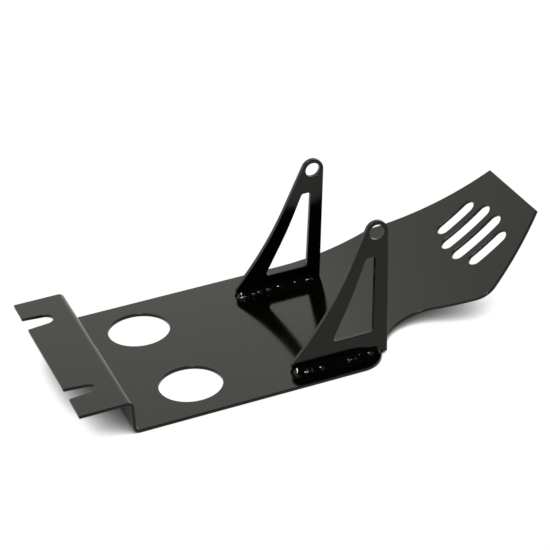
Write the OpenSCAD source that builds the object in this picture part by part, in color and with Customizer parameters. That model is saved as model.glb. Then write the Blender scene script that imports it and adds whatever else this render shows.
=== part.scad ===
// Motorcycle skid plate: one folded and rolled steel sheet with two welded bracket ears.
// Origin: the middle of the whole plate's length and width, on its ground side.
// +X is forward to the nose, +Y is the left side and +Z is up.

/* [Sheet] */
// Thickness of the folded sheet
sheet_t = 2; // [1.5:0.25:4]
// Width across the two long sides
plate_w = 140; // [120:1:200]
// Inside radius of the two sharp folds at the rear
fold_r = 2; // [1:0.5:4]
// Length from the riser to the start of the rolled nose
flat_l = 147; // [140:1:160]
// Radius of the rolled nose, to the middle of the sheet
roll_r = 197; // [150:1:400]
// Length of the rolled nose, measured along the sheet
roll_l = 151; // [135:1:170]

/* [Flange] */
// Height of the flange's underside over the ground side
flange_h = 20; // [12:0.5:40]
// Length of the flange behind the riser
flange_l = 31; // [24:1:60]
// Distance of each bolt slot from the middle of the flange
flange_slot_y = 44; // [25:0.5:48]
// Width of the left bolt slot at its round end
left_slot_w = 11; // [6:0.5:14]
// Width of the right bolt slot at its round end
right_slot_w = 8.5; // [6:0.5:14]
// How far each bolt slot runs in from the rear edge
flange_slot_l = 18; // [10:0.5:22]
// How much wider each bolt slot is at its open mouth
slot_flare = 3; // [0:0.5:6]

/* [Round holes] */
// Diameter of the two large holes
hole_d = 39; // [20:1:48]
// Distance of each hole from the middle of the plate
hole_y = 37; // [28:0.5:40]
// Distance of the left hole from the riser
left_hole_x = 39; // [30:0.5:60]
// Distance of the right hole from the riser
right_hole_x = 47; // [30:0.5:60]

/* [Nose outline] */
// Where the straight left side turns into the nose's taper, along the sheet
shoulder_s = 213.5; // [200:0.5:240]
// Width of the nose's straight front edge
tip_w = 63; // [30:1:90]
// Where the right side turns into the notch, along the sheet
notch_start = 157.5; // [154:0.5:158.5]
// Where the notch's short side turns a little forward, along the sheet
notch_knee_s = 164.5; // [162:0.5:166]
// How far in from the right side it does so
notch_knee_depth = 14.5; // [12:0.5:17]
// Radius of that soft turn
notch_knee_r = 30; // [5:1:40]
// Where the notch's two sides would meet, along the sheet
notch_root = 187.5; // [184:0.5:192]
// How far in from the right side they would meet
notch_depth = 44.5; // [36:0.5:46]
// Where the notch's long side meets the nose's taper, along the sheet
notch_end = 238.5; // [235:0.5:246]
// Radius of the round outer corner where the notch starts
notch_start_r = 17; // [8:1:20]
// Radius of the outline's two other round outer corners
corner_r = 15; // [4:1:18]
// Radius of the notch's root
notch_r = 27; // [10:1:30]

/* [Nose slots] */
// Width of each slot
slot_w = 9.5; // [4:0.5:12]
// Spacing of the slots across the nose
slot_pitch = 15; // [14:0.5:18]
// Length of the two inner slots
inner_slot_l = 40; // [20:1:50]
// Length of the two outer slots
outer_slot_l = 30; // [16:1:40]
// Middle of the slots, along the sheet
slot_mid_s = 260; // [250:1:265]

/* [Brackets] */
// Thickness of each bracket
bracket_t = 3; // [2:0.5:5]
// Distance of the left bracket's inner face from the middle of the plate, at its base
left_bracket_y = 44; // [35:0.5:55]
// Distance of the right bracket's inner face from the middle of the plate, at its base
right_bracket_y = 53.5; // [35:0.5:60]
// Angle by which each bracket leans in toward the middle
bracket_lean = 2.5; // [0:0.5:5]
// Distance of the front of the left bracket's base from the riser
left_front_x = 165.5; // [162:0.5:170]
// Distance of the front of the right bracket's base from the riser
right_front_x = 167.5; // [162:0.5:170]
// Length of the left bracket's base
left_base_l = 57.5; // [54:0.5:64]
// Length of the right bracket's base
right_base_l = 62; // [54:0.5:64]
// How far a bracket's base runs down past the flat plate's top, where it overhangs the notch
base_drop = 1; // [0.25:0.25:1.5]
// Height of the short upright at the rear foot
foot_h = 6.6; // [4:0.2:8]
// Radius of the corner at the top of the foot
foot_r = 1; // [0.5:0.25:2]
// Height of the eye's centre over the plate
eye_h = 80; // [75:0.5:110]
// How far the eye's centre lies behind the front of the base
eye_back = 1.75; // [0:0.25:4]
// Outer radius of the eye
eye_r = 7.25; // [6.5:0.25:9]
// Diameter of the bolt hole in the eye
eye_d = 9.6; // [6:0.2:11]
// Height of the soft knee in the slanted rear edge
knee_h = 33; // [30:0.5:36]
// How far that knee lies behind the front of the base
knee_back = 34.5; // [32:0.5:37]
// Radius of the knee
knee_r = 220; // [40:5:220]

/* [Bracket window] */
// Height of the left window's lower edge over the plate
left_window_h = 11; // [10:0.5:20]
// Height of the right window's lower edge over the plate
right_window_h = 14.5; // [10:0.5:20]
// Height of both windows' top
window_top = 64.5; // [58:0.5:65]
// Width of each window at its top
window_top_w = 6; // [5:0.5:7]
// How far each window's top lies behind the front of the base
window_top_back = 3.8; // [3:0.2:5]
// Where the window's front side would reach the plate, behind the front of the base
window_front = 9.6; // [8:0.2:14]
// Where its rear side would reach the plate, behind the front of the base
window_rear = 44; // [40:0.5:45]
// Height of the soft knee in the window's rear side
window_knee_h = 41; // [36:0.5:44]
// How far that knee lies behind the front of the base
window_knee_back = 20.5; // [19:0.5:22]
// Radius of that knee
window_knee_r = 250; // [40:5:300]
// Radius of the window's corners
window_r = 2; // [1:0.25:2.5]

/* [Weld beads] */
// Leg of each weld bead
weld_leg = 4.5; // [3:0.25:6]
// Length of one lump of weld along the bead
weld_pitch = 5; // [3.5:0.1:6]
// Distance of the rear lump's middle ahead of the rear foot
weld_rear = 4; // [2:0.5:10]
// Distance of the front lump's middle behind the front of the base
weld_front = 9; // [2:0.5:12]

/* [Hidden] */
$fn = 64;
half_w = plate_w / 2;
flange_top = flange_h + sheet_t;
fold_out = fold_r + sheet_t;
roll_top_r = roll_r - sheet_t / 2;
roll_out_r = roll_r + sheet_t / 2;
roll_centre_z = sheet_t / 2 + roll_r;
roll_angle = deg(roll_l / roll_r);
middle_x = (flat_l + roll_out_r * sin(roll_angle) - flange_l) / 2;
tip_s = flat_l + roll_l;
taper = (half_w - tip_w / 2) / (tip_s - shoulder_s);
// Cuts run past the faces that they open by this much
cut = 1;
// Longest straight step of an outline where it runs over the rolled nose
curve_step = 5;
// Largest turn of one step round a corner
turn_step = 6;
full_turn = 360;
// Sides of the rolled nose's circle and of one weld lump
roll_sides = 360;
lump_sides = 32;
steel = [0.24, 0.24, 0.23];

function deg(radians) = radians * 180 / PI;
function unit(v) = v / norm(v);
function along(p, q, d) = p + unit(q - p) * d;

// Place along the unrolled sheet, turned into X
function roll_x(s) = s <= flat_l ? s : flat_l + roll_r * sin(deg((s - flat_l) / roll_r));

// Half width of the nose's straight taper at a place along the unrolled sheet
function taper_w(s) = half_w - taper * (s - shoulder_s);

// Points of a round corner at q, between the lines from p and to n
function corner(p, q, n, r) =
    let (turn = acos(unit(q - p) * unit(n - q)))
    let (back = r * tan(turn / 2))
    let (a = along(q, p, back), b = along(q, n, back))
    let (centre = q + unit(unit(p - q) + unit(n - q)) * r / cos(turn / 2))
    let (start = atan2(a.y - centre.y, a.x - centre.x))
    let (end = atan2(b.y - centre.y, b.x - centre.x))
    let (sweep = (end - start + full_turn * 1.5) % full_turn - full_turn / 2)
    let (steps = max(2, ceil(turn / turn_step)))
    [for (i = [0 : steps]) centre + r * [cos(start + sweep * i / steps), sin(start + sweep * i / steps)]];

// Points of a closed outline of [x, y, radius] corners, with a radius of 0 for a sharp one
function rounded(c) = [
    for (i = [0 : len(c) - 1])
        let (p = c[(i + len(c) - 1) % len(c)], q = c[i], n = c[(i + 1) % len(c)])
        each q[2] > 0
            ? corner([p.x, p.y], [q.x, q.y], [n.x, n.y], q[2])
            : [[q.x, q.y]]
];

// The same outline with its long sides split into short steps, so that it can follow the roll
function stepped(pts) = [
    for (i = [0 : len(pts) - 1])
        let (p = pts[i], q = pts[(i + 1) % len(pts)])
        let (steps = max(p.x, q.x) > flat_l ? ceil(norm(q - p) / curve_step) : 1)
        each [for (k = [0 : steps - 1]) p + (q - p) * k / steps]
];

// Outline of the unrolled sheet, from the rear left corner round to the rear right one.
// It runs one step past the tip, where the rolled sheet's own end closes it.
function flat_outline() = rounded([
    [-flange_l, half_w, 0],
    [shoulder_s, half_w, corner_r],
    [tip_s + curve_step, taper_w(tip_s + curve_step), 0],
    [tip_s + curve_step, -taper_w(tip_s + curve_step), 0],
    [notch_end, -taper_w(notch_end), corner_r],
    [notch_root, notch_depth - half_w, notch_r],
    [notch_knee_s, notch_knee_depth - half_w, notch_knee_r],
    [notch_start, -half_w, notch_start_r],
    [-flange_l, -half_w, 0]
]);

// Sets what is measured from the riser round the middle of the plate's whole length
module centred() {
    translate([-middle_x, 0, 0]) children();
}

// A quarter of a fold, in the side view, from its centre
module fold_2d(from) {
    rotate(from) intersection() {
        difference() {
            circle(fold_out);
            circle(fold_r);
        }
        square(fold_out);
    }
}

// The rolled nose in the side view
module roll_2d() {
    translate([flat_l, roll_centre_z]) intersection() {
        difference() {
            circle(roll_out_r, $fn = roll_sides);
            circle(roll_top_r, $fn = roll_sides);
        }
        polygon([
            [0, 0], [0, -2 * roll_out_r],
            2 * roll_out_r * [sin(roll_angle / 2), -cos(roll_angle / 2)],
            2 * roll_out_r * [sin(roll_angle), -cos(roll_angle)]
        ]);
    }
}

// The sheet in the side view: flange, fold, riser, fold, flat, rolled nose
module sheet_2d() {
    translate([-flange_l, flange_h]) square([flange_l + sheet_t - fold_out, sheet_t]);
    translate([sheet_t - fold_out, flange_top - fold_out]) fold_2d(0);
    translate([0, fold_out]) square([sheet_t, flange_top - 2 * fold_out]);
    translate([fold_out, fold_out]) fold_2d(180);
    translate([fold_out, 0]) square([flat_l - fold_out, sheet_t]);
    roll_2d();
}

// All that lies over or under the sheet's outline
module outlined() {
    linear_extrude(2 * roll_r) polygon([for (p = stepped(flat_outline())) [roll_x(p.x), p.y]]);
}

// Turns a side view into a solid of the given width, centred on the middle plane
module across(width) {
    rotate([90, 0, 0]) linear_extrude(width, center = true) children();
}

// One open bolt slot of the flange, seen from above, with its mouth at the rear edge
module flange_slot_2d(width) {
    end_x = flange_slot_l - width / 2;
    mouth = width + slot_flare;
    translate([end_x, 0]) circle(d = width);
    polygon([
        [end_x, width / 2], [0, mouth / 2], [-cut, mouth / 2],
        [-cut, -mouth / 2], [0, -mouth / 2], [end_x, -width / 2]
    ]);
}

// A straight slot with round ends, seen square on
module slot_2d(length, width) {
    span = length - width;
    square([span, width], center = true);
    for (end = [-1, 1])
        translate([end * span / 2, 0]) circle(d = width);
}

// One slot through the rolled nose, cut square to the sheet at the slot's middle
module nose_slot(length) {
    half_angle = deg(length / 2 / roll_r);
    depth = roll_out_r - roll_top_r * cos(half_angle) + 2 * cut;
    translate([flat_l, 0, roll_centre_z]) rotate([0, deg((flat_l - slot_mid_s) / roll_r), 0])
        translate([0, 0, -roll_out_r - cut]) linear_extrude(depth) slot_2d(length, slot_w);
}

module skid_plate() {
    color(steel) centred() difference() {
        intersection() {
            across(2 * plate_w) sheet_2d();
            outlined();
        }
        for (hole = [[left_hole_x, hole_y], [right_hole_x, -hole_y]])
            translate([hole.x, hole.y, -cut]) cylinder(d = hole_d, h = sheet_t + 2 * cut);
        for (slot = [[flange_slot_y, left_slot_w], [-flange_slot_y, right_slot_w]])
            translate([-flange_l, slot[0], flange_h - cut])
                linear_extrude(sheet_t + 2 * cut) flange_slot_2d(slot[1]);
        for (side = [-1, 1]) {
            translate([0, side * slot_pitch / 2, 0]) nose_slot(inner_slot_l);
            translate([0, side * slot_pitch * 1.5, 0]) nose_slot(outer_slot_l);
        }
    }
}

// All that lies over the sheet's top face, in the side view
module over_sheet_2d() {
    translate([-flange_l, sheet_t]) square([flange_l + flat_l, roll_r]);
    translate([flat_l, roll_centre_z]) intersection() {
        circle(roll_top_r, $fn = roll_sides);
        translate([0, -roll_r]) square(roll_r);
    }
}

// Where the line up from p just touches the circle round c: side is 1 for its rear, -1 for its front
function touch(p, c, r, side) =
    let (d = norm(c - p), lean = atan2(c.y - p.y, c.x - p.x) + side * asin(r / d))
    p + sqrt(d * d - r * r) * [cos(lean), sin(lean)];

// Points of the arc round c from point a to point b, clockwise
function arc(c, r, a, b) =
    let (start = atan2(a.y - c.y, a.x - c.x), end = atan2(b.y - c.y, b.x - c.x))
    let (sweep = (start - end + full_turn) % full_turn, steps = ceil(sweep / turn_step))
    [for (i = [0 : steps]) c + r * [cos(start - sweep * i / steps), sin(start - sweep * i / steps)]];

// Point at height h on the line between two points
function at_height(p, q, h) = p + (q - p) * (h - p.y) / (q.y - p.y);

// One bracket in the side view, from the front of its base, with heights over the plate
module bracket_2d(base_l, window_h) {
    heel = [-base_l, 0];
    foot = [-base_l, foot_h];
    eye = [-eye_back, eye_h];
    knee = [-knee_back, knee_h];
    rear = touch(knee, eye, eye_r, 1);
    front = touch([0, 0], eye, eye_r, -1);
    top_front = [-window_top_back, window_top];
    top_rear = top_front - [window_top_w, 0];
    window_knee = [-window_knee_back, window_knee_h];
    low_front = at_height([-window_front, 0], top_front, window_h);
    low_rear = at_height([-window_rear, 0], window_knee, window_h);
    difference() {
        polygon(concat(
            [heel - [0, base_drop]], corner(heel, foot, knee, foot_r), corner(foot, knee, rear, knee_r),
            arc(eye, eye_r, rear, front), [[0, 0], [0, -base_drop]]
        ));
        translate(eye) circle(d = eye_d);
        polygon(rounded([
            [low_rear.x, low_rear.y, window_r],
            [window_knee.x, window_knee.y, window_knee_r],
            [top_rear.x, top_rear.y, window_r],
            [top_front.x, top_front.y, window_r],
            [low_front.x, low_front.y, window_r]
        ]));
    }
}

// Places what stands on the sheet from the front of a bracket's base and its inner face,
// leaning in toward the middle
module leaning(side) {
    front = side > 0 ? [left_front_x, left_bracket_y] : [right_front_x, -right_bracket_y];
    translate([front.x, front.y, sheet_t]) rotate([side * bracket_lean, 0, 0]) children();
}

// One bracket standing on the sheet, with its base cut to follow it as far as the sheet reaches
module bracket(side, base_l, window_h) {
    color(steel) centred() difference() {
        leaning(side) translate([0, side * bracket_t / 2, 0]) across(bracket_t) bracket_2d(base_l, window_h);
        difference() {
            outlined();
            across(2 * plate_w) over_sheet_2d();
        }
    }
}

// One fillet weld in the corner under a bracket's face: a row of lumps, cut flush to both metals
module weld(side, out, base_l) {
    length = base_l - weld_rear - weld_front;
    lumps = round(length / weld_pitch);
    reach = 2 * weld_leg;
    face = out == side ? bracket_t : 0;
    color(steel) centred() intersection() {
        leaning(side) intersection() {
            union() {
                for (i = [0 : lumps])
                    translate([-weld_front - length * i / lumps, side * face, 0]) sphere(weld_leg, $fn = lump_sides);
            }
            translate([-base_l - reach, side * face + (out - 1) * reach / 2, -reach])
                cube([base_l + 2 * reach, reach, 2 * reach]);
        }
        across(2 * plate_w) over_sheet_2d();
    }
}

module left_bracket() { bracket(1, left_base_l, left_window_h); }
module right_bracket() { bracket(-1, right_base_l, right_window_h); }
module left_outer_weld() { weld(1, 1, left_base_l); }
module left_inner_weld() { weld(1, -1, left_base_l); }
module right_outer_weld() { weld(-1, -1, right_base_l); }
module right_inner_weld() { weld(-1, 1, right_base_l); }

skid_plate();
left_bracket();
right_bracket();
left_outer_weld();
left_inner_weld();
right_outer_weld();
right_inner_weld();
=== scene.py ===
import math
import random

import bmesh
import bpy
import numpy as np
from mathutils import Matrix, Vector, noise
from mathutils.geometry import delaunay_2d_cdt


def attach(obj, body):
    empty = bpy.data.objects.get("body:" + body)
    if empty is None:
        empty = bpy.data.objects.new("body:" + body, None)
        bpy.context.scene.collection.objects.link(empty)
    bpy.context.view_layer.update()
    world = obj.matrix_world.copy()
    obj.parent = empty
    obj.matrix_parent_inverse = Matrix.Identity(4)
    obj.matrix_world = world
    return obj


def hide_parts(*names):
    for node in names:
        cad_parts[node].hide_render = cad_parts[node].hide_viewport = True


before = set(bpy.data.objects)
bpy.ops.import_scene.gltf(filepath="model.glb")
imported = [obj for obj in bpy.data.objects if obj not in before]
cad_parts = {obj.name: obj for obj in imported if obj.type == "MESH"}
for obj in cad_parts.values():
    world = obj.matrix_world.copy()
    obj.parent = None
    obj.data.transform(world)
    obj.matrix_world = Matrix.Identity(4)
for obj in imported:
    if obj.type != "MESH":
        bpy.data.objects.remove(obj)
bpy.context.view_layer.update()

MM = 0.001


# The viewer stands behind the plate's right side, about 1.3 m away, and looks down on it.
# A long lens keeps the plate's sides nearly parallel.
view_place = Vector((-375.5, -1018.4, 658.2)) * MM
view_turn = math.radians(19.853)
view_dip = math.radians(29.774)
view_roll = math.radians(-4.088)
view_lens = 132.6

camera_data = bpy.data.cameras.new("viewer")
camera_data.lens = view_lens
camera_data.sensor_width = 36
camera_data.clip_end = 50
camera = bpy.data.objects.new("viewer", camera_data)
bpy.context.scene.collection.objects.link(camera)
camera.matrix_world = (
    Matrix.Translation(view_place)
    @ Matrix.Rotation(-view_turn, 4, "Z")
    @ Matrix.Rotation(math.pi / 2 - view_dip, 4, "X")
    @ Matrix.Rotation(view_roll, 4, "Z")
)
bpy.context.scene.camera = camera
bpy.context.scene.view_settings.view_transform = "Standard"


# The powder coat: black polyester baked over the finished steelwork, smooth and glossy.
# It has a faint orange peel, a slightly uneven gloss and a few settled specks of dust.
class Value:
    """A number or colour on its way through a finish. Plain sums on it add Math nodes."""

    def __init__(self, finish, socket):
        self.finish = finish
        self.socket = socket

    def math(self, operation, a, b):
        return self.finish.node("ShaderNodeMath", {"operation": operation}, {0: a, 1: b})

    def __add__(self, other):
        return self.math("ADD", self, other)

    def __sub__(self, other):
        return self.math("SUBTRACT", self, other)

    def __mul__(self, other):
        return self.math("MULTIPLY", self, other)

    def __pow__(self, other):
        return self.math("POWER", self, other)

    def at_most(self, other):
        return self.math("MINIMUM", self, other)

    def along(self, way):
        dot = {"operation": "DOT_PRODUCT"}
        return self.finish.node("ShaderNodeVectorMath", dot, {0: self, 1: way}, "Value")


class Finish:
    """A material or sky whose nodes all come from node()."""

    def __init__(self, owner):
        owner.use_nodes = True
        self.owner = owner
        self.tree = owner.node_tree
        self.tree.nodes.clear()

    def node(self, kind, settings, inputs, output=0):
        made = self.tree.nodes.new(kind)
        for key, setting in settings.items():
            if key == "stops":
                for stop, (place, grey) in zip(made.color_ramp.elements, setting):
                    stop.position = place
                    stop.color = (grey, grey, grey, 1)
            else:
                setattr(made, key, setting)
        for key, given in inputs.items():
            if isinstance(given, Value):
                self.tree.links.new(given.socket, made.inputs[key])
            else:
                made.inputs[key].default_value = given
        return Value(self, made.outputs[output]) if made.outputs else None

    def noise(self, place, size, detail=2.0, roughness=0.5, output="Fac"):
        return self.node("ShaderNodeTexNoise", {}, {
            "Vector": place, "Scale": 1 / size, "Detail": detail, "Roughness": roughness}, output)

    def mix(self, factor, a, b):
        """Colour a where the factor is 0 and colour b where it is 1."""
        colours = {"Factor": factor, "A": a, "B": b}
        return self.node("ShaderNodeMix", {"data_type": "RGBA"}, colours, output=2)

    def ramp(self, factor, low, high):
        """A ramp between two stops, each a place and the grey that it has there."""
        return self.node("ShaderNodeValToRGB", {"stops": (low, high)}, {"Fac": factor})


peel_size = 2.4
peel_depth = 0.05
cloud_size = 45.0
haze_size = 9.0
speck_size = 0.9
speck_colour = (0.03, 0.03, 0.027, 1)
clouded = 1.9


def powder_coat(name, peel, gloss, black):
    """A black coat: peel is the strength of its bumps and gloss its mean roughness."""
    finish = Finish(bpy.data.materials.new(name))
    place = finish.node("ShaderNodeTexCoord", {}, {}, "Object")
    peel_height = finish.noise(place, peel_size * MM, 2.0, 0.55)
    cloud = finish.noise(place, cloud_size * MM, 3.0, 0.6)
    haze = finish.noise(place, haze_size * MM, 4.0, 0.65)
    speck = finish.ramp(finish.noise(place, speck_size * MM, 1.0), (0.75, 0.0), (0.79, 1.0))
    paler = (*[c * clouded for c in black], 1)
    coat = finish.mix(cloud * 0.6 + haze * 0.4, (*black, 1), paler)
    colour = finish.mix(speck, coat, speck_colour)
    roughness = (cloud - 0.5) * 0.06 + (haze - 0.5) * 0.05 + speck * 0.08 + gloss
    bump = finish.node("ShaderNodeBump", {}, {
        "Strength": peel, "Distance": peel_depth * MM, "Height": peel_height})
    shader = finish.node("ShaderNodeBsdfPrincipled", {}, {
        "Base Color": colour, "Roughness": roughness, "Normal": bump, "IOR": 1.33,
        "Specular Tint": (1, 0.99, 0.9, 1)})
    finish.node("ShaderNodeOutputMaterial", {}, {"Surface": shader})
    return finish.owner


gloss_black = powder_coat("gloss_black_powder_coat", 0.06, 0.1, (0.0005, 0.0005, 0.0004))


# The plate: one 2 mm steel sheet, laser cut flat with its holes and slots, then folded twice
# at the rear into a bolt flange and rolled up at the front into a nose.
# The cut edges are slightly rounded under the coat.
sheet_t = 2.0
half_w = 70.0
fold_mid_r = 3.0
flat_l = 147.0
roll_r = 197.0
roll_l = 151.0
flange_top = 22.0
flange_l = 31.0
edge_r = 0.4
fine_corner_r = 0.8
fine_steps = 4
edge_step = 5.0

fold_out = fold_mid_r + sheet_t / 2
fold_l = fold_mid_r * math.pi / 2
riser_l = flange_top - 2 * fold_out
# From the riser's rear face to the middle of the plate's whole length
middle = Vector(((flat_l + (roll_r + sheet_t / 2) * math.sin(roll_l / roll_r) - flange_l) / 2, 0, 0))
# Places along the unfolded sheet, counted from the riser on past its folds
low_fold_end = fold_out - fold_l
high_fold_start = low_fold_end - riser_l
high_fold_end = high_fold_start - fold_l
rear_end = high_fold_end - (flange_l - fold_out + sheet_t)
tip_end = flat_l + roll_l


def bent(u):
    """Side view of the sheet's middle at u along it, and the directions along it and out of its top."""
    if u > flat_l:
        a = (u - flat_l) / roll_r
        centre = Vector((flat_l, sheet_t / 2 + roll_r))
        out = Vector((-math.sin(a), math.cos(a)))
        return centre - out * roll_r, Vector((math.cos(a), math.sin(a))), out
    if u > fold_out:
        return Vector((u, sheet_t / 2)), Vector((1, 0)), Vector((0, 1))
    if u > low_fold_end:
        a = (fold_out - u) / fold_mid_r
        out = Vector((math.sin(a), math.cos(a)))
        return Vector((fold_out, fold_out)) - out * fold_mid_r, Vector((math.cos(a), -math.sin(a))), out
    if u > high_fold_start:
        return Vector((sheet_t / 2, fold_out + low_fold_end - u)), Vector((0, -1)), Vector((1, 0))
    centre = Vector((sheet_t - fold_out, flange_top - fold_out))
    if u > high_fold_end:
        a = (high_fold_start - u) / fold_mid_r
        out = Vector((math.cos(a), math.sin(a)))
        return centre + out * fold_mid_r, Vector((math.sin(a), -math.cos(a))), out
    return centre + Vector((u - high_fold_end, fold_mid_r)), Vector((1, 0)), Vector((0, 1))


def on_plate(u, w, n):
    """A point n over the middle of the sheet, with the three directions there."""
    spine, along, out = bent(u)
    at = spine + out * n
    return (
        Vector((at.x, w, at.y)) - middle,
        Vector((along.x, 0, along.y)), Vector((0, 1, 0)), Vector((out.x, 0, out.y))
    )


def round_corner(p, q, n, r, steps):
    """Points of a round corner of radius r at q, between the lines from p and to n."""
    p, q, n = Vector(p), Vector(q), Vector(n)
    before, after = (q - p).normalized(), (n - q).normalized()
    turn = before.angle(after)
    centre = q + (after - before).normalized() * r / math.cos(turn / 2)
    start = math.atan2(*reversed(q - before * r * math.tan(turn / 2) - centre))
    sweep = math.copysign(turn, before.cross(after))
    return [centre + r * Vector((math.cos(start + sweep * i / steps), math.sin(start + sweep * i / steps)))
            for i in range(steps + 1)]


def rounded(corners, step=math.radians(5)):
    """Points of a closed outline of (x, y, radius) corners, the finest in only a few steps."""
    points = []
    for i, (x, y, r) in enumerate(corners):
        p, n = corners[i - 1][:2], corners[(i + 1) % len(corners)][:2]
        turn = (Vector((x, y)) - Vector(p)).angle(Vector(n) - Vector((x, y)))
        steps = max(3, round(turn / step)) if r > fine_corner_r else fine_steps
        points += round_corner(p, (x, y), n, r, steps)
    return points


def arc(centre, r, start, end, steps):
    """Points of an arc, with its angles in degrees."""
    angles = [math.radians(start + (end - start) * i / steps) for i in range(steps + 1)]
    return [Vector(centre) + r * Vector((math.cos(a), math.sin(a))) for a in angles]


def circle(centre, r, steps):
    return arc(centre, r, 0, 360, steps)[:-1]


def stadium(centre, length, width, steps=16):
    """Points of a slot with round ends."""
    reach = Vector(((length - width) / 2, 0))
    return (arc(Vector(centre) + reach, width / 2, -90, 90, steps)
            + arc(Vector(centre) - reach, width / 2, 90, 270, steps))


def split_long(points, longest):
    """The same closed outline with no step longer than the given length."""
    split = []
    for p, q in zip(points, points[1:] + points[:1]):
        pieces = max(1, math.ceil((q - p).length / longest))
        split += [p.lerp(q, k / pieces) for k in range(pieces)]
    return split


def area(points):
    """Area in a closed outline, less than nothing if it runs clockwise."""
    return sum(p.cross(q) for p, q in zip(points, points[1:] + points[:1])) / 2


def inside(points, outline):
    """Which of the points lie inside the closed outline."""
    points = np.array(points)
    within = np.zeros(len(points), bool)
    for p, q in zip(outline, outline[1:] + outline[:1]):
        crosses = (p.y > points[:, 1]) != (q.y > points[:, 1])
        if crosses.any():
            at = p.x + (points[:, 1] - p.y) * (q.x - p.x) / (q.y - p.y or 1)
            within ^= crosses & (points[:, 0] < at)
    return within


def in_sheet(points, loops):
    """Which of the points lie inside the first closed outline and outside its holes, the others."""
    kept = inside(points, loops[0])
    for hole in loops[1:]:
        kept &= ~inside(points, hole)
    return kept


# How near the grid comes to an edge, what counts as on a fold and as one place, the thinnest
# triangle that is kept, and the least cosine that a corner's mitre divides by
grid_clear = 1.2
on_fold = 1e-4
one_place = 1e-6
sliver = 1e-5
least_cosine = 0.5


def cut_sheet(name, outline, holes, thickness, place, bend_lines=(), grid=()):
    """A closed mesh of a cut sheet with rounded edges, where place(u, w, n) bends it into its form."""
    loops = [outline if area(outline) > 0 else outline[::-1]]
    loops += [hole if area(hole) < 0 else hole[::-1] for hole in holes]
    half = thickness / 2
    turns = [math.radians(a) for a in (90, 60, 30, 0)]
    rim = [(edge_r * (1 - math.cos(a)), half - edge_r * (1 - math.sin(a)), a) for a in turns]
    rim += [(inset, -n, -a) for inset, n, a in reversed(rim)]
    vertices, normals, faces = [], [], []

    def add(u, w, n, direction):
        at, along, across, out = place(u, w, n)
        vertices.append(at * MM)
        normals.append(along * direction[0] + across * direction[1] + out * direction[2])
        return len(vertices) - 1

    flat, flat_loops, constraints, top, bottom = [], [], [], [], []
    for loop in loops:
        rings, outward = [], []
        for i, q in enumerate(loop):
            a, b = (q - loop[i - 1]).normalized(), (loop[(i + 1) % len(loop)] - q).normalized()
            side = (Vector((a.y, -a.x)) + Vector((b.y, -b.x))).normalized()
            outward.append((side, 1 / max(least_cosine, side.dot(Vector((a.y, -a.x))))))
        for inset, n, a in rim:
            ring = []
            for q, (side, stretch) in zip(loop, outward):
                direction = (side.x * math.cos(a), side.y * math.cos(a), math.sin(a))
                ring.append(add(*(q - side * inset * stretch), n, direction))
            rings.append(ring)
        for upper, lower in zip(rings, rings[1:]):
            for i in range(len(loop)):
                j = (i + 1) % len(loop)
                faces.append((upper[i], lower[i], lower[j], upper[j]))
        base = len(flat)
        flat += [q - side * edge_r * stretch for q, (side, stretch) in zip(loop, outward)]
        flat_loops.append(flat[base:])
        constraints += [(base + i, base + (i + 1) % len(loop)) for i in range(len(loop))]
        top += rings[0]
        bottom += rings[-1]

    for u in bend_lines:
        ends = sorted((i for i, q in enumerate(flat) if abs(q.x - u) < on_fold), key=lambda i: flat[i].y)
        constraints.append((ends[0], ends[-1]))
    if grid:
        spots = [Vector(spot) for spot in grid]
        rims = np.array([tuple(q) for q in flat])
        for spot, keep in zip(spots, in_sheet(spots, loops)):
            if keep and np.hypot(*(rims - np.array(spot)).T).min() > grid_clear:
                flat.append(spot)
                top.append(add(*spot, half, (0, 0, 1)))
                bottom.append(add(*spot, -half, (0, 0, -1)))
    spots, _, triangles, same, _, _ = delaunay_2d_cdt(flat, constraints, [], 0, one_place)
    middles = [(spots[a] + spots[b] + spots[c]) / 3 for a, b, c in triangles]
    for (a, b, c), keep in zip(triangles, in_sheet(middles, flat_loops)):
        corners = [spots[a], spots[b], spots[c]]
        longest = max((corners[i] - corners[i - 1]).length for i in range(3))
        if keep and area(corners) > sliver * longest ** 2:
            a, b, c = same[a][0], same[b][0], same[c][0]
            faces.append((top[a], top[b], top[c]))
            faces.append((bottom[c], bottom[b], bottom[a]))

    mesh = bpy.data.meshes.new(name)
    mesh.from_pydata(vertices, [], faces)
    mesh.validate()
    mesh.shade_smooth()
    mesh.normals_split_custom_set_from_vertices([n.normalized() for n in normals])
    piece = bpy.data.objects.new(name, mesh)
    bpy.context.scene.collection.objects.link(piece)
    return piece


shoulder_u = 213.5
tip_half_w = 31.5
notch = [(238.5, 15.0), (187.5, 27.0), (164.5, 30.0), (157.5, 17.0)]
notch_root_w = -25.5
notch_knee_w = -55.5
corner_r = 15.0
slot_flare = 3.0
flange_slots = [(-44.0, 8.5), (44.0, 11.0)]
flange_slot_l = 18.0
past_mouth = 30.0
taper = (half_w - tip_half_w) / (tip_end - shoulder_u)

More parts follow.
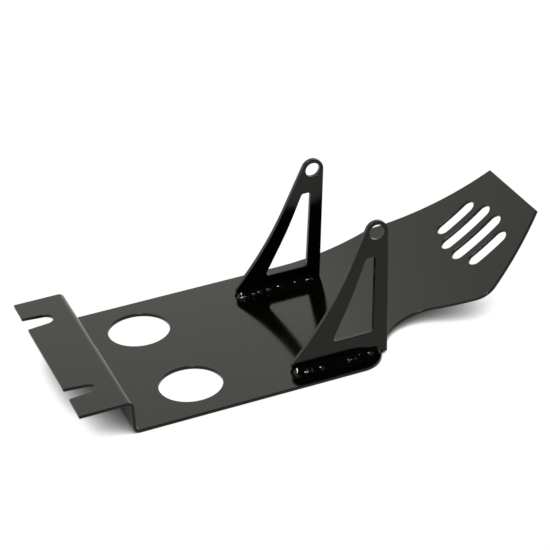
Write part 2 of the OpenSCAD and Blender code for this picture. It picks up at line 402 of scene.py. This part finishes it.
outline = [
    (rear_end, half_w, fine_corner_r),
    (shoulder_u, half_w, corner_r),
    (tip_end, tip_half_w, fine_corner_r),
    (tip_end, -tip_half_w, fine_corner_r),
    (notch[0][0], -half_w + taper * (notch[0][0] - shoulder_u), notch[0][1]),
    (notch[1][0], notch_root_w, notch[1][1]),
    (notch[2][0], notch_knee_w, notch[2][1]),
    (notch[3][0], -half_w, notch[3][1]),
    (rear_end, -half_w, fine_corner_r),
]
sheet_edge = rounded(outline)
for slot_w, width in flange_slots:
    end = rear_end + flange_slot_l - width / 2
    mouth = (width + slot_flare) / 2
    right_lip = [(rear_end, slot_w - past_mouth), (rear_end, slot_w - mouth), (end, slot_w - width / 2)]
    left_lip = [(end, slot_w + width / 2), (rear_end, slot_w + mouth), (rear_end, slot_w + past_mouth)]
    sheet_edge += round_corner(*right_lip, fine_corner_r, fine_steps)
    sheet_edge += arc((end, slot_w), width / 2, -90, 90, steps=20)
    sheet_edge += round_corner(*left_lip, fine_corner_r, fine_steps)
sheet_edge = split_long(sheet_edge, edge_step)

fold_steps = 10
bend_lines = [flat_l]
for start in (fold_out, high_fold_start):
    bend_lines += [start - fold_l * i / fold_steps for i in range(fold_steps + 1)]
for u in bend_lines:
    for w in (half_w, -half_w):
        at = min(range(len(sheet_edge)), key=lambda i: (sheet_edge[i] - Vector((u, w))).length)
        here, after = sheet_edge[at], sheet_edge[(at + 1) % len(sheet_edge)]
        ahead = (after.x - here.x) * (u - here.x) > 0
        if abs(here.x - u) > one_place:
            sheet_edge.insert(at + 1 if ahead else at, Vector((u, w)))

hole_r = 19.5
round_holes = [(39.0, 37.0), (47.0, -37.0)]
slot_mid_u = 260.0
nose_slots = [(22.5, 30.0), (7.5, 40.0), (-7.5, 40.0), (-22.5, 30.0)]
nose_slot_w = 9.5
nose_slot_step = 3.0
sheet_holes = [circle(hole, hole_r, steps=96) for hole in round_holes]
sheet_holes += [split_long(stadium((slot_mid_u, w), length, nose_slot_w), nose_slot_step)
                for w, length in nose_slots]
# Points within the rolled nose
grid_along = 4
grid_across = 6
grid_half_w = 66
nose_grid = [(u, w) for u in np.arange(flat_l + grid_along, tip_end, grid_along)
             for w in np.arange(-grid_half_w, grid_half_w + 1, grid_across)]

plate = cut_sheet("plate", sheet_edge, sheet_holes, sheet_t, on_plate, bend_lines, nose_grid)
plate.data.materials.append(gloss_black)
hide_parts("skid_plate")
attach(plate, "root")


# The two bracket ears: triangles of 3 mm sheet with a window and a bolt eye, laser cut,
# stood on the plate as a mirrored pair that leans in a little, and welded along both sides.
# The right one has the longer base and the shorter window.
bracket_t = 3.0
bracket_lean = math.radians(2.5)
foot_h = 6.6
heel_r = 1.0
base_drop = 1.0
base_points = 14
knee = Vector((-34.5, 33.0))
knee_r = 220.0
eye = Vector((-1.75, 80.0))
eye_r = 7.25
eye_hole_r = 4.8
window_top = Vector((-3.8, 64.5))
window_top_w = 6.0
window_front = 9.6
window_rear = 44.0
window_knee = Vector((-20.5, 41.0))
window_knee_r = 250.0
window_r = 2.0
# Side, front end of the base from the riser, inner face, length of the base, height of the window's sill
ears = {"left": (1, 165.5, 44.0, 57.5, 11.0), "right": (-1, 167.5, -53.5, 62.0, 14.5)}


def touch(p, side):
    """Where the line up from p just touches the eye: side is 1 for its rear, -1 for its front."""
    reach = eye - Vector(p)
    lean = math.atan2(reach.y, reach.x) + side * math.asin(eye_r / reach.length)
    return Vector(p) + math.sqrt(reach.length ** 2 - eye_r ** 2) * Vector((math.cos(lean), math.sin(lean)))


def rise(x):
    """How far the plate's top face has rolled up at x."""
    top_r = roll_r - sheet_t / 2
    return top_r - math.sqrt(top_r ** 2 - max(0, x - flat_l) ** 2)


def notch_edge(y):
    """Where the notch has cut the plate away at y, or far ahead of the ears where it has not."""
    notch_start = notch[3][0] - notch[3][1]
    crossings = [p.x + (y - p.y) * (q.x - p.x) / (q.y - p.y) for p, q in zip(sheet_edge, sheet_edge[1:])
                 if min(p.x, q.x) > notch_start and min(p.y, q.y) <= y < max(p.y, q.y)]
    return min(crossings, default=tip_end)


def ear(name, side, front_x, foot_y, base_l, sill):
    rear_touch, front_touch = touch(knee, 1), touch((0, 0), -1)
    start = math.degrees(math.atan2(*reversed(rear_touch - eye)))
    end = math.degrees(math.atan2(*reversed(front_touch - eye)))
    reach = min(front_x, notch_edge(foot_y + side * bracket_t)) - front_x
    base = [Vector((x, rise(front_x + x))) for x in np.linspace(reach, -base_l, base_points)]
    if reach < 0:
        base = [Vector((0, -base_drop)), Vector((reach, -base_drop))] + base
    edge = [base[-1]] + round_corner((-base_l, 0), (-base_l, foot_h), knee, heel_r, fine_steps)
    edge += round_corner((-base_l, foot_h), knee, rear_touch, knee_r, steps=12)
    edge += arc(eye, eye_r, start, end, steps=32) + base[:-1]
    low_front = Vector((-window_front, 0)).lerp(window_top, sill / window_top.y)
    low_rear = Vector((-window_rear, 0)).lerp(window_knee, sill / window_knee.y)
    window = rounded([
        (*low_rear, window_r), (*window_knee, window_knee_r),
        (window_top.x - window_top_w, window_top.y, window_r), (*window_top, window_r),
        (*low_front, window_r)
    ])
    turn = Matrix.Rotation(side * bracket_lean, 3, "X")
    origin = Vector((front_x, foot_y, sheet_t)) - middle

    def on_ear(x, h, n):
        return (origin + turn @ Vector((x, side * bracket_t / 2 - n, h)),
                Vector((1, 0, 0)), turn @ Vector((0, 0, 1)), turn @ Vector((0, -1, 0)))

    holes = [circle(eye, eye_hole_r, steps=48), split_long(window, edge_step)]
    piece = cut_sheet(name, split_long(edge, edge_step), holes, bracket_t, on_ear)
    piece.data.materials.append(gloss_black)
    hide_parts(name.replace("_ear", "_bracket"))
    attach(piece, "root")


for hand, sizes in ears.items():
    ear(hand + "_ear", *sizes)


# The weld beads: hand-laid fillets on both sides of each ear's base, coated with the rest.
# Each is a nearly flat, uneven fillet with round ends and a few small lumps of spatter along
# its lower half, whose rear flanks sparkle.
weld_leg = 4.5
# Middles of the bead's round ends, from the rear and front ends of the ear's base
weld_rear = 4.0
weld_front = 9.0
weld_belly = 0.35
# The fillet lies a little low, to leave room for its waves and ripples
weld_sink = 0.25
weld_root = 0.3
wave_h = 0.3
wave_l = 5.0
wave_turns = 1.2
ripple_h = 0.1
ripple_l = 1.7
ripple_turns = 3.0
lump_h = 0.8
lump_r = 1.1
hidden_lumps = 7
# Place from the riser, angle up the bead in degrees, size and stretch along the bead of each lump
spatter = {
    "right_outer": [(105, 26, 0.9, 1.0), (113.5, 18, 1.1, 1.2), (115.5, 32, 1.2, 1.1), (123, 28, 0.9, 0.9),
                    (142, 26, 1.1, 1.2), (144, 30, 1.2, 1.2), (149, 50, 0.7, 1.0), (155.5, 38, 1.1, 1.0)],
    "left_inner": [(108, 20, 1.0, 1.2), (113, 24, 1.3, 1.1), (119, 28, 1.2, 0.9), (122.5, 38, 0.9, 0.8),
                   (129, 36, 1.2, 0.8), (136.5, 48, 0.8, 0.9), (148, 45, 0.7, 1.0), (157, 35, 1.3, 1.3)],
}

gloss_weld = powder_coat("gloss_black_coated_weld", 0.25, 0.08, (0.0005, 0.0005, 0.0005))


def bead(name, side, out, front_x, foot_y, base_l, seed):
    dice = random.Random(seed)
    turn = Matrix.Rotation(side * bracket_lean, 3, "X")
    face_y = side * (bracket_t if out == side else 0)
    origin = Vector((front_x, foot_y, sheet_t)) + turn @ Vector((0, face_y, 0)) - middle
    start, end = weld_rear - weld_leg - base_l, weld_leg - weld_front
    lumps = spatter.get(name) or [
        (front_x + dice.uniform(start, end), dice.uniform(20, 50),
         dice.uniform(0.6, 1.1), dice.uniform(0.8, 1.5))
        for _ in range(hidden_lumps)]
    stations, around = 240, 22
    least_cap = 0.02
    vertices, faces = [], []
    for i in range(stations + 1):
        x = start + (end - start) * i / stations
        from_end = min(x - start, end - x) / weld_leg
        cap = math.sqrt(max(least_cap, 1 - max(0, 1 - from_end) ** 2))
        lift = rise(front_x + x)
        for j in range(around + 1):
            a = math.pi / 2 * j / around
            flatness = (1 - weld_belly) / (math.cos(a) + math.sin(a)) + weld_belly
            r = weld_leg * cap * flatness - weld_sink
            r += wave_h * noise.noise(Vector((x / wave_l, a * wave_turns, seed)))
            r += ripple_h * noise.noise(Vector((x / ripple_l, a * ripple_turns, seed + 9)))
            for place, low, size, stretch in lumps:
                along = (x + front_x - place) / (lump_r * stretch)
                up = weld_leg * (a - math.radians(low)) / lump_r
                r += lump_h * size * cap * math.exp(-(along ** 2 + up ** 2) / 2)
            r = min(r, weld_leg / max(math.cos(a), math.sin(a)))
            vertices.append((origin + Vector((x, out * r * math.cos(a), lift + r * math.sin(a)))) * MM)
        vertices.append((origin + Vector((x, -out * weld_root, lift - weld_root))) * MM)
    ring = around + 2
    for i in range(stations):
        for j in range(ring):
            k = (j + 1) % ring
            faces.append((i * ring + j, i * ring + k, (i + 1) * ring + k, (i + 1) * ring + j))
    faces.append(tuple(range(ring)))
    faces.append(tuple(stations * ring + j for j in reversed(range(ring))))
    mesh = bpy.data.meshes.new(name + "_bead")
    mesh.from_pydata(vertices, [], faces)
    shape = bmesh.new()
    shape.from_mesh(mesh)
    bmesh.ops.recalc_face_normals(shape, faces=shape.faces)
    shape.to_mesh(mesh)
    shape.free()
    mesh.shade_smooth()
    piece = bpy.data.objects.new(name + "_bead", mesh)
    bpy.context.scene.collection.objects.link(piece)
    piece.data.materials.append(gloss_weld)
    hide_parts(name + "_weld")
    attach(piece, "root")


for hand, (side, front_x, foot_y, base_l, _) in ears.items():
    for seed, (where, out) in enumerate((("outer", side), ("inner", -side))):
        bead(f"{hand}_{where}", side, out, front_x, foot_y, base_l, seed + 5 * side)


# The studio: a white floor that glows evenly, with painted shade that dims its glow by its own ambient
# occlusion only close under the plate, and a white sky that is a little brighter toward the nose and falls
# off to black high on the viewer's side, so that the welds stay dark but for the glints of one small lamp.
floor_reach = 4.0
floor_z = -0.1 * MM
shade_reach = 0.15
shade_lift = 2.0
floor_strength = 1.02
sky_strength = 1.45
nose_glow = 0.12
lamp_far = 1.5

floor_mesh = bpy.data.meshes.new("floor")
floor_corners = [(-1, -1), (1, -1), (1, 1), (-1, 1)]
floor_mesh.from_pydata([(x * floor_reach, y * floor_reach, floor_z) for x, y in floor_corners],
                       [], [(0, 1, 2, 3)])
floor = bpy.data.objects.new("floor", floor_mesh)
bpy.context.scene.collection.objects.link(floor)
white = Finish(bpy.data.materials.new("white_floor_painted_shade"))
# Painted shade: the floor's glow is dimmed by its ambient occlusion where the plate is close above it, in
# place of a shadow cast by the sky or the lamp.
open_sky = white.node("ShaderNodeAmbientOcclusion", {"samples": 32}, {"Distance": shade_reach}, "AO")
painted_floor_shade = (open_sky * shade_lift).at_most(1.0)
floor_shader = white.node("ShaderNodeEmission", {}, {"Color": painted_floor_shade ** 2, "Strength": floor_strength})
white.node("ShaderNodeOutputMaterial", {}, {"Surface": floor_shader})
floor_mesh.materials.append(white.owner)

sky = Finish(bpy.data.worlds.new("studio"))
bpy.context.scene.world = sky.owner
toward = sky.node("ShaderNodeTexCoord", {}, {}, "Generated")
dark_way = Vector((0.29, -0.6, 0.74)).normalized()
lit = sky.ramp(toward.along(dark_way), (0.42, 1.0), (0.80, 0.02))
glow = toward.along((1, 0, 0)) * nose_glow + sky_strength
backdrop = sky.node("ShaderNodeBackground", {}, {"Color": (1, 0.985, 0.93, 1), "Strength": lit * glow})
sky.node("ShaderNodeOutputWorld", {}, {"Surface": backdrop})

glint_way = Vector((-0.283, -0.364, 0.888))
lamp_data = bpy.data.lights.new("glint_lamp", "AREA")
lamp_data.energy = 18
lamp_data.size = 0.35
lamp = bpy.data.objects.new("glint_lamp", lamp_data)
bpy.context.scene.collection.objects.link(lamp)
lamp.location = glint_way * lamp_far
lamp.rotation_euler = glint_way.to_track_quat("Z", "Y").to_euler()
